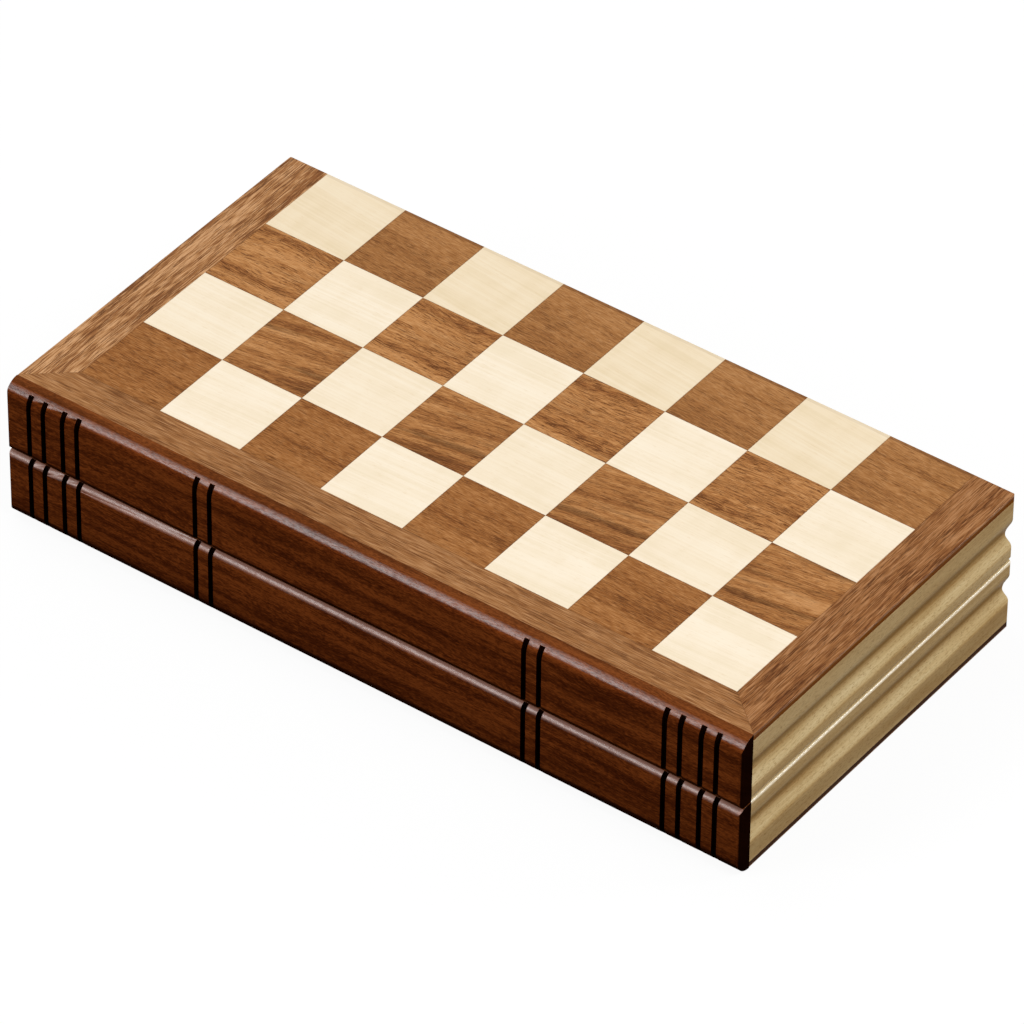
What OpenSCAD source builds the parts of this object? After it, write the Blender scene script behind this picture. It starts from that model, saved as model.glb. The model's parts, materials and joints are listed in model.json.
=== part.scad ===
// Folding travel chess set, shaped like a thick book.
// Two half boxes share one hinge line along the back. Each half carries half of the chequered board on its
// outer face and sixteen chessmen lying in a fitted tray inside. Opened flat and turned over, the two outer
// faces meet at the hinge and make the eight by eight board.
// Sizes are in millimetres. The origin is the middle of the base, X runs along the spine, Y towards the
// hinge and Z up. Each half is drawn as the lower one, board face down, and the upper one is its mirror image.

/* [Board] */
// Side of one square
square = 34; // [32:0.5:38]
// Width of the walnut border at each end of the board
side_border = 16.5; // [13:0.5:22]
// Width of the walnut border beside the spine
front_border = 14; // [10:0.5:20]
// How far the far row of squares runs past its grid line to reach the hinge edge
back_overrun = 1.5; // [0.5:0.1:3]
// Thickness of the inlaid veneer
veneer_t = 0.8; // [0.6:0.1:1.2]
// Thickness of the panel under the veneer
core_t = 1.8; // [1.4:0.1:2.4]
// Radius along the free edges of the veneer
edge_r = 0.5; // [0.2:0.1:0.6]
// Hairline between neighbouring pieces of veneer
seam = 0.04; // [0.02:0.01:0.1]

/* [Case] */
// Height of one half, from board face to the parting plane
half_h = 29; // [28.4:0.2:34]
// Gap left between the two rims when the box is shut
rim_gap = 0.4; // [0.1:0.05:0.6]
// Thickness of the page rails at the two ends
page_rail_t = 10.5; // [8:0.5:13]
// Thickness of the hinge rail along the back
hinge_rail_t = 9; // [8.5:0.5:13]
// Plan radius of the two hinge-side corners
corner_r = 1.5; // [0.5:0.1:3]

/* [Spine] */
// Thickness of the spine where it laps over the panel and the page rails
spine_t = 6.5; // [6.4:0.1:9]
// Thickness of the spine's inner wall, which fits between the page rails
inner_wall_t = 7.5; // [7:0.5:10]
// Radius of the spine's outer edge beside the board face
spine_board_r = 6.4; // [3:0.1:6.4]
// Radius of the spine's edge at the parting plane
spine_rim_r = 3.2; // [1:0.1:4]
// Radius of the spine's two upright corners
spine_end_r = 1.5; // [0.5:0.1:3]
// Width of one groove across the spine
groove_w = 2; // [1:0.1:3]
// Depth of a groove, measured from the spine's face
groove_d = 2.2; // [1:0.1:3]
// Distance between the two grooves of a pair
groove_pitch = 6.2; // [4:0.1:8]
// Distance of the outermost pair of grooves from the end of the box
outer_pair_in = 13; // [10:0.5:15]
// Distance of the next pair from the end of the box
middle_pair_in = 27.5; // [25:0.5:40]
// Distance of the inner pair from the middle of the box
inner_pair_x = 68.3; // [40:0.1:90]

/* [Page moulding] */
// Depth of the cove that runs along a page rail
cove_d = 3.3; // [1:0.1:4.5]
// Height of the cove's gentle side
cove_gentle = 9.9; // [7:0.1:11]
// Height of the cove's steep side
cove_steep = 4.2; // [2.5:0.1:6]
// Height of the lower half's cove above its board face, at its deepest line
lower_cove_z = 14.7; // [11:0.1:17]
// Height of the upper half's cove from its board face, at its deepest line
upper_cove_z = 19.3; // [15:0.1:20]
// Radius along the top of the lower half's page rails
lower_rim_r = 1.2; // [0.4:0.1:1.6]
// Radius along the bottom of the upper half's page rails
upper_rim_r = 2.4; // [0.4:0.1:2.5]

/* [Hinges] */
// Distance of each hinge's middle from the middle of the box
hinge_x = 85; // [40:1:110]
// Length of one hinge
hinge_len = 30; // [24:1:40]
// Width of a hinge leaf, measured from the pin's axis
leaf_w = 8; // [7.2:0.1:8.4]
// Thickness of a hinge leaf
leaf_t = 1; // [0.8:0.1:1.4]
// Radius of the hinge knuckles
knuckle_r = 2.1; // [1.8:0.1:2.3]
// Radius of the hinge pin
pin_r = 0.9; // [0.6:0.05:1.1]
// Radius of the pin's riveted heads
pin_head_r = 1.4; // [1.2:0.05:1.7]
// Thickness of the pin's riveted heads
pin_head_t = 0.5; // [0.3:0.1:1]
// Distance of the pin's axis behind the back face
axis_out = 0.15; // [0.1:0.05:0.4]
// Distance of each screw from the middle of its hinge
screw_x = 9; // [6:0.5:9]
// Radius of a screw's head
screw_head_r = 2; // [1.6:0.1:2.1]
// Depth of a screw's countersunk head
screw_head_d = 0.8; // [0.5:0.1:0.8]
// Radius of a screw's shank
screw_r = 1.05; // [0.8:0.05:1.3]
// Length of a screw
screw_len = 8; // [5:0.5:12]

/* [Magnets] */
// Diameter of a catch magnet
magnet_d = 5; // [3:0.5:6]
// Thickness of a catch magnet
magnet_t = 3; // [2:0.5:5]
// Distance of the catch magnets from the end of the box
magnet_in = 34; // [20:1:60]

/* [Tray] */
// Thickness of the tray under the deepest nest
tray_floor = 1.2; // [0.8:0.1:1.6]
// How far a man's axis lies above the top of the tray
axis_rise = 1; // [0:0.1:3]
// Distance of the officers' bases from the tray's edge
officer_in = 3; // [2:0.5:5]
// Distance of the pawns' bases from the tray's edge
pawn_in = 3; // [2:0.5:5]

/* [Chessmen] */
// Height of a king
king_h = 64; // [58:1:68]
// Height of a queen
queen_h = 57; // [50:1:62]
// Height of a bishop
bishop_h = 50; // [45:1:54]
// Height of a knight
knight_h = 45; // [42:1:50]
// Height of a rook
rook_h = 40; // [36:1:44]
// Height of a pawn
pawn_h = 36; // [31:1:38]
// Diameter of a king's base
king_d = 24; // [21:0.5:24.5]
// Diameter of a queen's base
queen_d = 23; // [20:0.5:24]
// Diameter of a bishop's base
bishop_d = 21; // [19:0.5:23]
// Diameter of a knight's base
knight_d = 21; // [20:0.5:23]
// Diameter of a rook's base
rook_d = 21; // [19:0.5:23]
// Diameter of a pawn's base
pawn_d = 18.5; // [17:0.5:20]
// Thickness of a knight's head
knight_t = 12; // [9:0.5:13]
// Thickness of the felt pad under each man
pad_t = 0.6; // [0.3:0.1:1]

/* [Fits] */
// Play between a glued or dropped-in piece and its seat
seat_play = 0.3; // [0.2:0.05:0.5]
// Play round a turning or pressed metal piece
metal_play = 0.05; // [0.02:0.01:0.1]
// Gap between neighbouring knuckles
knuckle_gap = 0.2; // [0.1:0.05:0.4]
// Play round the knuckles in the wood
notch_play = 0.3; // [0.2:0.05:0.6]

/* [Hidden] */
$fn = 64;
over = 1;
files = 8;
ranks = 4;

board_l = files * square;
box_l = board_l + 2 * side_border;
box_w = spine_t + front_border + ranks * square + back_overrun;
board_t = veneer_t + core_t;
rim_z = half_h - rim_gap / 2;

end_x = box_l / 2;
grid_x = board_l / 2;
front_y = -box_w / 2;
back_y = box_w / 2;
panel_y = front_y + spine_t;
grid_y = panel_y + front_border;
veneer_edge_r = min(edge_r, veneer_t - 0.1);

rail_x = end_x - page_rail_t;
wall_y = panel_y + inner_wall_t;
hinge_rail_y = back_y - hinge_rail_t;
axis_y = back_y + axis_out;
screw_y = axis_y - (leaf_w + knuckle_r + notch_play) / 2;
magnet_y = panel_y + inner_wall_t / 2;
rail_h = rim_z - board_t;

tray_x = rail_x - seat_play;
tray_y0 = wall_y + seat_play;
tray_y1 = hinge_rail_y - seat_play;
nest_pitch = 2 * tray_x / files;
largest_d = max(king_d, queen_d, bishop_d, knight_d, rook_d, pawn_d);
axis_z = board_t + tray_floor + seat_play + largest_d / 2;
tray_z = axis_z - axis_rise;
officer_y = tray_y0 + officer_in;
pawn_y = tray_y1 - pawn_in;
tallest_h = max(king_h, queen_h, bishop_h, knight_h, rook_h);
channel_y0 = officer_y + tallest_h + seat_play;
channel_y1 = pawn_y - pawn_h - seat_play;

walnut = "#9a6a3f";
stained_walnut = "#46200f";
maple = "#f3e4c4";
page_wood = "#c9b68a";
panel_brown = "#5f350c";
brass = "#c9a24a";
steel = "#b8bcc0";
velvet = "#1f4a34";
felt = "#2c6b3f";
boxwood = "#e2bd7c";
dark_wood = "#3a1c10";

OFFICERS = ["rook", "knight", "bishop", "queen", "king", "bishop", "knight", "rook"];
COPIES = ["_1", "_1", "_1", "", "", "_2", "_2", "_2"];
function officer_name(set, i) = str(set, "_", OFFICERS[i], COPIES[i]);
function pawn_name(set, i) = str(set, "_pawn_", i + 1);

BOX_NODES = ["panel", "light_squares", "dark_squares", "border", "spine", "left_page_rail",
    "right_page_rail", "hinge_rail", "tray", "hinge_leaves", "hinge_screws", "magnets"];

// Placing

module in_upper() {
    translate([0, 0, 2 * half_h]) mirror([0, 0, 1]) children();
}

module at_both_ends() {
    children();
    mirror([1, 0, 0]) children();
}

// Runs a section, drawn in Y and Z, along the X axis from x0 to x1
module along_x(x0, x1) {
    translate([x0, 0, 0]) rotate([90, 0, 90]) linear_extrude(x1 - x0) children();
}

// Runs a section, drawn in X and Z, along the Y axis from y0 to y1
module along_y(y0, y1) {
    translate([0, y1, 0]) rotate([90, 0, 0]) linear_extrude(y1 - y0) children();
}

// What a rounding of radius r takes off a corner at the origin
module corner_waste(r) {
    difference() {
        translate([-over, -over]) square(r + over);
        translate([r, r]) circle(r);
    }
}

// Board

module back_corner_waste(z0, z1) {
    at_both_ends() translate([end_x, back_y, z0]) rotate(180)
        linear_extrude(z1 - z0) corner_waste(corner_r);
}

module panel() {
    color(panel_brown) difference() {
        translate([-end_x, panel_y, veneer_t]) cube([box_l, back_y - panel_y, core_t]);
        back_corner_waste(0, board_t + over);
    }
}

// The rounded edge that the veneer has above the hinge
module back_edge_waste() {
    along_x(-end_x - over, end_x + over) translate([back_y, 0]) mirror([1, 0]) corner_waste(veneer_edge_r);
}

// Squares whose file and rank add up to an even number (parity 0) or an odd one (parity 1).
// Rank 0 lies beside the hinge.
module squares(parity) {
    difference() {
        for (file = [0 : files - 1], rank = [0 : ranks - 1]) {
            if ((file + rank) % 2 == parity) {
                reach = rank == 0 ? square + back_overrun : square - seam / 2;
                x = -grid_x + file * square + seam / 2;
                y = grid_y + (ranks - 1 - rank) * square + seam / 2;
                translate([x, y, 0]) cube([square - seam, reach - seam / 2, veneer_t]);
            }
        }
        back_edge_waste();
    }
}

module light_squares(parity) {
    color(maple) squares(parity);
}

module dark_squares(parity) {
    color(walnut) squares(parity);
}

module front_strip() {
    linear_extrude(veneer_t) polygon([
        [-end_x, panel_y], [end_x, panel_y],
        [grid_x, grid_y - seam / 2], [-grid_x, grid_y - seam / 2]]);
}

module side_strip() {
    linear_extrude(veneer_t) polygon([
        [end_x, panel_y + seam], [end_x, back_y],
        [grid_x + seam / 2, back_y], [grid_x + seam / 2, grid_y + seam / 2]]);
}

// Three strips of walnut veneer, mitred at the two spine-side corners
module border() {
    color(walnut) difference() {
        union() {
            front_strip();
            at_both_ends() side_strip();
        }
        at_both_ends() along_y(panel_y - over, back_y + over)
            translate([end_x, 0]) mirror([1, 0]) corner_waste(veneer_edge_r);
        back_edge_waste();
        back_corner_waste(-over, veneer_t + over);
    }
}

// Spine

module spine_section() {
    difference() {
        translate([front_y, 0]) square([spine_t, rim_z]);
        translate([front_y, 0]) corner_waste(spine_board_r);
        translate([front_y, rim_z]) mirror([0, 1]) corner_waste(spine_rim_r);
    }
}

module groove(x) {
    translate([x - groove_w / 2, front_y - over, -over])
        cube([groove_w, groove_d + over, half_h + 2 * over]);
}

module groove_pair(x) {
    groove(x - groove_pitch / 2);
    groove(x + groove_pitch / 2);
}

// One walnut rail: the outer part laps over the panel and the page rails, and the inner wall fits between them
module spine() {
    color(stained_walnut) difference() {
        union() {
            along_x(-end_x, end_x) spine_section();
            translate([-rail_x, panel_y - over, board_t]) cube([2 * rail_x, inner_wall_t + over, rail_h]);
        }
        at_both_ends() {
            translate([-end_x, front_y, -over]) linear_extrude(half_h + 2 * over) corner_waste(spine_end_r);
            groove_pair(end_x - outer_pair_in);
            groove_pair(end_x - middle_pair_in);
            groove_pair(inner_pair_x);
            translate([end_x - magnet_in, magnet_y, rim_z - magnet_t])
                cylinder(d = magnet_d + 2 * metal_play, h = magnet_t + over);
        }
    }
}

module magnets() {
    color(steel) at_both_ends() translate([end_x - magnet_in, magnet_y, rim_z - magnet_t])
        cylinder(d = magnet_d, h = magnet_t);
}

// Page rails

steps_gentle = 12;
steps_steep = 7;
steps_round = 5;

// Depth of the cove at distance z from its deepest line, where one side is run long
function cove(z, run) = cove_d * (1 + cos(180 * z / run)) / 2;

// The rail's outer side from the panel up to the rim, which is rounded to radius r. below and above are the
// heights of the cove's two sides.
function page_outline(deep_z, below, above, steps_below, steps_above, r) = concat(
    [[0, board_t]],
    [for (i = [0 : steps_below]) let (z = -below * (1 - i / steps_below)) [-cove(z, below), deep_z + z]],
    [for (i = [1 : steps_above]) let (z = above * i / steps_above) [-cove(z, above), deep_z + z]],
    [for (i = [0 : steps_round]) let (a = 90 * i / steps_round)
        [r * (cos(a) - 1), rim_z + r * (sin(a) - 1)]]);

module page_rail(outline) {
    color(page_wood) difference() {
        along_y(panel_y, back_y) translate([end_x, 0])
            polygon(concat([[-page_rail_t, board_t]], outline, [[-page_rail_t, rim_z]]));
        back_corner_waste(0, half_h);
    }
}

lower_pages = page_outline(lower_cove_z, cove_steep, cove_gentle, steps_steep, steps_gentle, lower_rim_r);
upper_pages = page_outline(upper_cove_z, cove_gentle, cove_steep, steps_gentle, steps_steep, upper_rim_r);

// Hinges

module at_both_hinges() {
    for (side = [-1, 1]) translate([side * hinge_x, 0, 0]) children();
}

// A round bar of radius r on the pin's axis, from x0 to x1
module on_axis(r, x0, x1) {
    translate([x0, axis_y, half_h]) rotate([0, 90, 0]) cylinder(r = r, h = x1 - x0);
}

module at_both_screws() {
    for (side = [-1, 1]) translate([side * screw_x, screw_y, rim_z]) children();
}

// A countersunk screw or its hole, grown by play, with its head's face at the origin
module screw_shape(play, above) {
    translate([0, 0, -screw_len - play]) cylinder(r = screw_r + play, h = screw_len + play);
    translate([0, 0, -screw_head_d])
        cylinder(r1 = screw_r + play, r2 = screw_head_r + play, h = screw_head_d);
    if (above > 0) cylinder(r = screw_head_r + play, h = above);
}

module hinge_rail() {
    notch_x = hinge_len / 2 + 2 * metal_play + pin_head_t + notch_play;
    leaf_x = hinge_len / 2 + metal_play;
    color(page_wood) difference() {
        translate([-rail_x, hinge_rail_y, board_t]) cube([2 * rail_x, hinge_rail_t, rail_h]);
        at_both_hinges() {
            translate([-leaf_x, axis_y - leaf_w - metal_play, rim_z - leaf_t])
                cube([2 * leaf_x, leaf_w, leaf_t + over]);
            on_axis(knuckle_r + notch_play, -notch_x, notch_x);
            at_both_screws() screw_shape(2 * metal_play, over);
        }
    }
}

// Stretches along a hinge, measured from its middle. The middle knuckle is a third of the hinge long.
hinge_end = hinge_len / 2;
middle_half = (hinge_len / 3 - knuckle_gap) / 2;
middle_knuckle = [[-middle_half, middle_half]];
outer_knuckles = [[-hinge_end, -middle_half - knuckle_gap], [middle_half + knuckle_gap, hinge_end]];
middle_space = [[-middle_half - knuckle_gap, middle_half + knuckle_gap]];
outer_spaces = [[-hinge_end - over, -middle_half], [middle_half, hinge_end + over]];

// Both leaves of one half. knuckles are the stretches it holds the pin on, and spaces are the other leaf's.
module hinge_leaves(knuckles, spaces) {
    color(brass) at_both_hinges() difference() {
        union() {
            translate([-hinge_len / 2, axis_y - leaf_w, rim_z - leaf_t]) cube([hinge_len, leaf_w, leaf_t]);
            for (x = knuckles) on_axis(knuckle_r, x[0], x[1]);
        }
        for (x = spaces) on_axis(knuckle_r + notch_play, x[0], x[1]);
        on_axis(pin_r + metal_play, -hinge_len, hinge_len);
        at_both_screws() screw_shape(metal_play, over);
    }
}

module hinge_screws() {
    slot_w = 0.5;
    slot_d = 0.3;
    color(brass) at_both_hinges() at_both_screws() difference() {
        screw_shape(0, 0);
        translate([-screw_head_r, -slot_w / 2, -slot_d]) cube([2 * screw_head_r, slot_w, slot_d + over]);
    }
}

module hinge_pins() {
    head_x = hinge_len / 2 + metal_play;
    color(brass) at_both_hinges() {
        on_axis(pin_r, -head_x - pin_head_t / 2, head_x + pin_head_t / 2);
        on_axis(pin_head_r, -head_x - pin_head_t, -head_x);
        on_axis(pin_head_r, head_x, head_x + pin_head_t);
    }
}

// Chessmen. Each stands on its felt pad at the origin, and its outline is turned round Z.

// A rounded moulding h high that reaches out to radius r
function bead(r, z, h) =
    [for (i = [0 : 6]) let (a = -90 + 30 * i) [r - h / 2 + h / 2 * cos(a), z + h / 2 + h / 2 * sin(a)]];

// A hollow sweep from radius r0 at z0 to radius r1 at z1
function sweep(r0, z0, r1, z1, power) =
    [for (i = [0 : 9]) let (t = i / 9) [r1 + (r0 - r1) * pow(1 - t, power), z0 + (z1 - z0) * t]];

// A bell that opens from radius r0 at z0 to radius r1 at z1
function bell(r0, z0, r1, z1, power) =
    [for (i = [0 : 8]) let (t = i / 8) [r0 + (r1 - r0) * pow(t, power), z0 + (z1 - z0) * t]];

// Part of a ball of radius r centred at height z, from angle a0 to the top
function ball(r, z, a0) = [for (i = [0 : 10]) let (a = a0 + (90 - a0) * i / 10) [r * cos(a), z + r * sin(a)]];

// Quarter of an oval dome, r wide and h high, on height z, ending at radius r_end
function dome(r, z, h, r_end) = let (a_end = acos(r_end / r))
    [for (i = [0 : 7]) let (a = a_end * i / 7) [r * cos(a), z + h * sin(a)]];

foot_h = 3;
step_h = 1.8;
step_in = 1.6;
stem_in = 2.9;
collar_h = 1.8;
collar_out = 0.2;
knob_from = -60;
stem_power = 2.2;
stem_z = pad_t + foot_h + step_h;

// The foot that every man has, r in radius: a large bead and a smaller one, above the felt pad
function foot(r) = concat([[0, pad_t]], bead(r, pad_t, foot_h), bead(r - step_in, pad_t + foot_h, step_h));

// The stem of a man with a foot of radius r, and the two collars that end it at height z
function stem(r, neck_r, collar_r, z) = concat(
    sweep(r - stem_in, stem_z, neck_r, z, stem_power),
    bead(collar_r, z, collar_h),
    bead(collar_r - step_in, z + collar_h, collar_h));

module turned(outline) {
    rotate_extrude() polygon(outline);
}

pawn_head_r = 5.6;

module pawn() {
    neck_r = 3;
    neck_z = pawn_h - 2 * pawn_head_r - collar_h;
    turned(concat(
        foot(pawn_d / 2),
        sweep(pawn_d / 2 - stem_in, stem_z, neck_r, neck_z, stem_power),
        bead(pawn_head_r + collar_out, neck_z, collar_h),
        ball(pawn_head_r, pawn_h - pawn_head_r, knob_from)));
}

rook_tower_r = 7.7;
rook_tower_h = 11;

module rook() {
    neck_r = 5.5;
    lip_h = 3.4;
    bevel = 0.4;
    well_r = 5;
    well_d = 3.6;
    crenels = 6;
    crenel_w = 2.2;
    crenel_d = 2.8;
    tower_z = rook_h - rook_tower_h;
    difference() {
        turned(concat(
            foot(rook_d / 2),
            sweep(rook_d / 2 - stem_in, stem_z, neck_r, tower_z - collar_h, stem_power),
            bead(rook_tower_r - bevel, tower_z - collar_h, collar_h),
            bell(neck_r + bevel, tower_z, rook_tower_r, tower_z + lip_h, stem_power),
            [[rook_tower_r, rook_h - bevel], [rook_tower_r - bevel, rook_h], [0, rook_h]]));
        translate([0, 0, rook_h - well_d]) cylinder(r = well_r, h = well_d + over);
        for (i = [0 : crenels - 1]) rotate(360 / crenels * i)
            translate([0, -crenel_w / 2, rook_h - crenel_d]) cube([rook_tower_r + over, crenel_w, crenel_d + over]);
    }
}

mitre_r = 6.1;
mitre_h = 13.6;
mitre_play = 0.4;

module bishop() {
    neck_r = 3.2;
    mitre_neck_r = 3.1;
    mitre_tip_r = 0.8;
    knob_r = 1.6;
    swell = 1.3;
    cut_w = 1.1;
    cut_in = 1;
    cut_up = 0.42 * mitre_h;
    cut_tilt = -38;
    mitre_z = bishop_h - knob_r * (1 - sin(knob_from)) - mitre_h;
    difference() {
        turned(concat(
            foot(bishop_d / 2),
            stem(bishop_d / 2, neck_r, mitre_r + collar_out, mitre_z - 2 * collar_h),
            [for (i = [0 : 11]) let (t = i / 12, girth = swell * sin(180 * pow(1 - t, 1.6)))
                [mitre_tip_r + (mitre_neck_r - mitre_tip_r) * (1 - t) + (mitre_r - mitre_neck_r) * girth,
                    mitre_z + mitre_h * t]],
            ball(knob_r, bishop_h - knob_r, knob_from)));
        translate([cut_in, -mitre_r, mitre_z + cut_up]) rotate([0, cut_tilt, 0])
            cube([2 * mitre_r, 2 * mitre_r, cut_w]);
    }
}

coronet_r = 7.2;
coronet_h = 11;

module queen() {
    neck_r = 3.6;
    cup_r = 4;
    rim_w = 1.7;
    rim_d = 0.6;
    dome_h = 2.6;
    knob_r = 1.9;
    knob_sink = 0.4;
    collar_in = 0.1;
    points = 9;
    bite_r = 1.35;
    rim_top = queen_h - 2 * knob_r - dome_h + knob_sink + rim_d;
    coronet_z = rim_top - coronet_h;
    difference() {
        turned(concat(
            foot(queen_d / 2),
            stem(queen_d / 2, neck_r, coronet_r - collar_in, coronet_z - 2 * collar_h),
            bell(cup_r, coronet_z, coronet_r, rim_top, 1.7),
            dome(coronet_r - rim_w, rim_top - rim_d, dome_h, knob_r),
            ball(knob_r, queen_h - knob_r, knob_from)));
        for (i = [0 : points - 1]) rotate(360 / points * i) translate([coronet_r - rim_w, 0, rim_top])
            rotate([0, 90, 0]) cylinder(r = bite_r, h = coronet_r);
    }
}

// A cross with flared arms, h high and t thick, standing on its foot
module cross(h, t) {
    foot_w = 0.29 * h;
    arm = 0.4 * h;
    waist = 0.12 * h;
    mid_z = 0.56 * h;
    flare = 0.22 * h;
    translate([0, t / 2, 0]) rotate([90, 0, 0]) linear_extrude(t) union() {
        polygon([[-foot_w, 0], [foot_w, 0], [waist, mid_z], [foot_w, h], [-foot_w, h], [-waist, mid_z]]);
        polygon([[-arm, mid_z - flare], [0, mid_z - waist], [arm, mid_z - flare],
            [arm, mid_z + flare], [0, mid_z + waist], [-arm, mid_z + flare]]);
    }
}

crown_r = 7.6;
crown_h = 12;

module king() {
    neck_r = 3.9;
    cup_r = 4.4;
    rim_w = 0.9;
    dome_h = 3.2;
    cross_h = 7.4;
    cross_t = 2.2;
    cross_sink = 0.6;
    crown_z = king_h - cross_h + cross_sink - dome_h - crown_h;
    turned(concat(
        foot(king_d / 2),
        stem(king_d / 2, neck_r, crown_r, crown_z - 2 * collar_h),
        bell(cup_r, crown_z, crown_r, crown_z + crown_h, 1.5),
        dome(crown_r - rim_w, crown_z + crown_h, dome_h, 0)));
    translate([0, 0, king_h - cross_h]) cross(cross_h, cross_t);
}

// Side view of a horse's head that is 1 high, its nose pointing along +X
HEAD = [[0.23, 0], [0.245, 0.08], [0.225, 0.18], [0.17, 0.27], [0.10, 0.34], [0.085, 0.40], [0.13, 0.425],
    [0.20, 0.415], [0.27, 0.41], [0.32, 0.44], [0.335, 0.50], [0.315, 0.56], [0.26, 0.63], [0.20, 0.71],
    [0.16, 0.79], [0.14, 0.87], [0.135, 0.92], [0.075, 1.0], [0.01, 0.915], [-0.09, 0.895], [-0.18, 0.81],
    [-0.24, 0.69], [-0.265, 0.55], [-0.265, 0.41], [-0.25, 0.26], [-0.235, 0.12], [-0.225, 0]];
// Half the width of the same head, as a share of its thickness, at each height
CHEEKS = [[0.5, 0], [0.5, 0.16], [0.43, 0.30], [0.47, 0.42], [0.47, 0.58], [0.38, 0.78], [0.30, 0.90], [0.14, 1.0]];
plate_z = 11.5;
plate_h = 1.8;
plate_r = 8.9;

module horse_head(h) {
    mane_cuts = 6;
    mane_step = 0.115 * h;
    cut_w = 0.7;
    eye_r = 1;
    difference() {
        intersection() {
            translate([0, knight_t / 2, 0]) rotate([90, 0, 0]) linear_extrude(knight_t)
                polygon([for (p = HEAD) p * h]);
            translate([-h / 2, 0, 0]) rotate([90, 0, 90]) linear_extrude(h) polygon(concat(
                [for (p = CHEEKS) [p[0] * knight_t, p[1] * h]],
                [for (i = [len(CHEEKS) - 1 : -1 : 0]) [-CHEEKS[i][0] * knight_t, CHEEKS[i][1] * h]]));
        }
        for (i = [0 : mane_cuts - 1]) translate([-0.27 * h, 0, 0.2 * h + mane_step * i])
            rotate([0, 22 - 9 * i, 0]) cube([0.2 * h, knight_t + over, cut_w], center = true);
        translate([0.3 * h, 0, 0.475 * h]) rotate([0, 12, 0])
            cube([0.16 * h, knight_t + over, cut_w], center = true);
        for (side = [-1, 1]) translate([0.08 * h, side * 0.36 * knight_t, 0.76 * h]) rotate([90, 0, 0])
            cylinder(r = eye_r, h = 0.09 * knight_t, center = true);
    }
}

module knight() {
    neck_r = 7;
    turned(concat(
        foot(knight_d / 2),
        sweep(knight_d / 2 - stem_in, stem_z, neck_r, plate_z, stem_power),
        bead(plate_r, plate_z, plate_h),
        [[0, plate_z + plate_h]]));
    translate([0, 0, plate_z + plate_h]) horse_head(knight_h - plate_z - plate_h);
}

module officer(kind) {
    if (kind == "rook") rook();
    if (kind == "knight") knight();
    if (kind == "bishop") bishop();
    if (kind == "queen") queen();
    if (kind == "king") king();
}

function officer_d(kind) = kind == "rook" ? rook_d : kind == "knight" ? knight_d : kind == "bishop" ? bishop_d :
    kind == "queen" ? queen_d : king_d;

// Tray

module on_officer_seat(i) {
    translate([(i - (files - 1) / 2) * nest_pitch, officer_y, axis_z]) rotate([-90, 0, 0]) children();
}

module on_pawn_seat(i) {
    translate([(i - (files - 1) / 2) * nest_pitch, pawn_y, axis_z]) rotate([90, 0, 0]) children();
}

// A nest for a man h tall: a round seat for the foot, a taper for the stem, and a round seat for the head
module nest(h, foot_d, head_r, head_len) {
    foot_r = foot_d / 2 + seat_play;
    shoulder_r = foot_r - step_in;
    foot_top = stem_z + seat_play;
    turned([[0, -seat_play], [foot_r, -seat_play], [foot_r, foot_top], [shoulder_r, foot_top],
        [head_r + seat_play, h - head_len], [head_r + seat_play, h + seat_play], [0, h + seat_play]]);
}

module knight_nest() {
    head_x0 = -9.5;
    head_x1 = 11.5;
    nest(plate_z + plate_h, knight_d, plate_r, plate_h);
    translate([head_x0, -knight_t / 2 - seat_play, plate_z])
        cube([head_x1 - head_x0, knight_t + 2 * seat_play, knight_h - plate_z + seat_play]);
}

module officer_nest(kind) {
    below_head = 2.5 * collar_h;
    if (kind == "rook") nest(rook_h, rook_d, rook_tower_r, rook_tower_h + below_head);
    if (kind == "knight") knight_nest();
    if (kind == "bishop") nest(bishop_h, bishop_d, mitre_r + mitre_play, mitre_h + 2 * below_head);
    if (kind == "queen") nest(queen_h, queen_d, coronet_r, coronet_h + 2.5 * below_head);
    if (kind == "king") nest(king_h, king_d, crown_r, crown_h + 3.2 * below_head);
}

// A velvet-covered insert with a nest for each man and a channel for the fingers between the two rows
module tray() {
    color(velvet) difference() {
        translate([-tray_x, tray_y0, board_t]) cube([2 * tray_x, tray_y1 - tray_y0, tray_z - board_t]);
        translate([-tray_x - over, channel_y0, board_t + tray_floor])
            cube([2 * (tray_x + over), channel_y1 - channel_y0, half_h]);
        for (i = [0 : files - 1]) {
            on_officer_seat(i) officer_nest(OFFICERS[i]);
            on_pawn_seat(i) nest(pawn_h, pawn_d, pawn_head_r + collar_out, 2 * pawn_head_r + collar_h);
        }
    }
}

// The light men lie in the lower tray and the dark men in the upper one

module light_officer(i) {
    color(boxwood) on_officer_seat(i) officer(OFFICERS[i]);
}

module light_pawn(i) {
    color(boxwood) on_pawn_seat(i) pawn();
}

module dark_officer(i) {
    color(dark_wood) in_upper() on_officer_seat(i) officer(OFFICERS[i]);
}

module dark_pawn(i) {
    color(dark_wood) in_upper() on_pawn_seat(i) pawn();
}

// The felt discs under the sixteen men of one half
module felt_pads() {
    color(felt) for (i = [0 : files - 1]) {
        on_officer_seat(i) cylinder(r = officer_d(OFFICERS[i]) / 2 - foot_h / 2, h = pad_t);
        on_pawn_seat(i) cylinder(r = pawn_d / 2 - foot_h / 2, h = pad_t);
    }
}

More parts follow.
